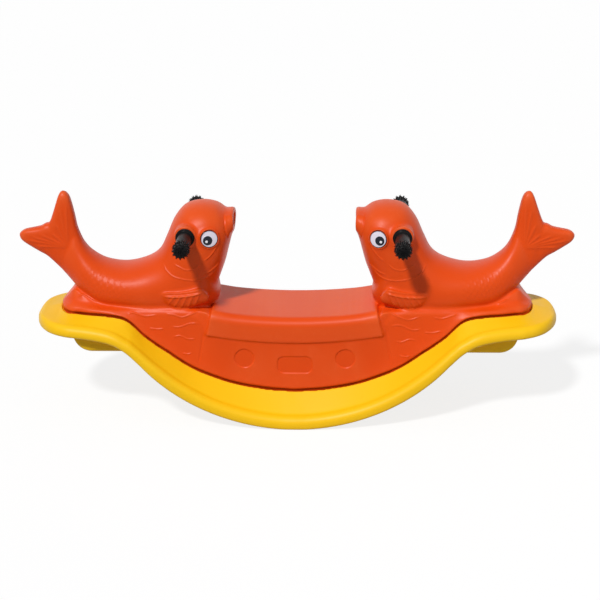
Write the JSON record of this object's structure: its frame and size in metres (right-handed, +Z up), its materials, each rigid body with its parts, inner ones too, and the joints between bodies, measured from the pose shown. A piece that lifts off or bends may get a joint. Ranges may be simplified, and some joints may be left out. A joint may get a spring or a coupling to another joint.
{
  "type": "kids seesaw",
  "caption": "Low floor seesaw for small children: fish-shaped seats face each other over a shared foot bench, with hand grips at the heads and a curved rocker base with end stops.",
  "frame": {"origin": "on the floor under the middle of the rocker", "axes": "+X along the seesaw from the left fish to the right one, +Y across it to the rear, +Z up"},
  "size_m": [1.398, 0.43, 0.57],
  "materials": {
    "orange_plastic": "moulded polyethylene, satin with a faint grain",
    "yellow_plastic": "moulded polyethylene, satin with a faint grain",
    "black_rubber": "soft moulded, matt",
    "eye_white": "smooth",
    "pupil_black": "smooth, with a pale glint",
    "zinc_steel": "zinc plated",
    "insert_brass": "plain turned"
  },
  "bodies": {
    "root": {"rocker_base": "yellow_plastic", "upper_body": "orange_plastic", "grip_left_front": "black_rubber", "grip_left_rear": "black_rubber", "grip_right_front": "black_rubber", "grip_right_rear": "black_rubber", "handlebar_left": "zinc_steel", "handlebar_right": "zinc_steel", "eye_left_front": "eye_white", "eye_left_rear": "eye_white", "eye_right_front": "eye_white", "eye_right_rear": "eye_white", "pupil_left_front": "pupil_black", "pupil_left_rear": "pupil_black", "pupil_right_front": "pupil_black", "pupil_right_rear": "pupil_black", "base_bolt_1": "zinc_steel", "base_bolt_2": "zinc_steel", "base_bolt_3": "zinc_steel", "base_bolt_4": "zinc_steel", "base_bolt_5": "zinc_steel", "base_bolt_6": "zinc_steel", "base_washer_1": "zinc_steel", "base_washer_2": "zinc_steel", "base_washer_3": "zinc_steel", "base_washer_4": "zinc_steel", "base_washer_5": "zinc_steel", "base_washer_6": "zinc_steel", "threaded_insert_1": "insert_brass", "threaded_insert_2": "insert_brass", "threaded_insert_3": "insert_brass", "threaded_insert_4": "insert_brass", "threaded_insert_5": "insert_brass", "threaded_insert_6": "insert_brass"}
  },
  "joints": []
}
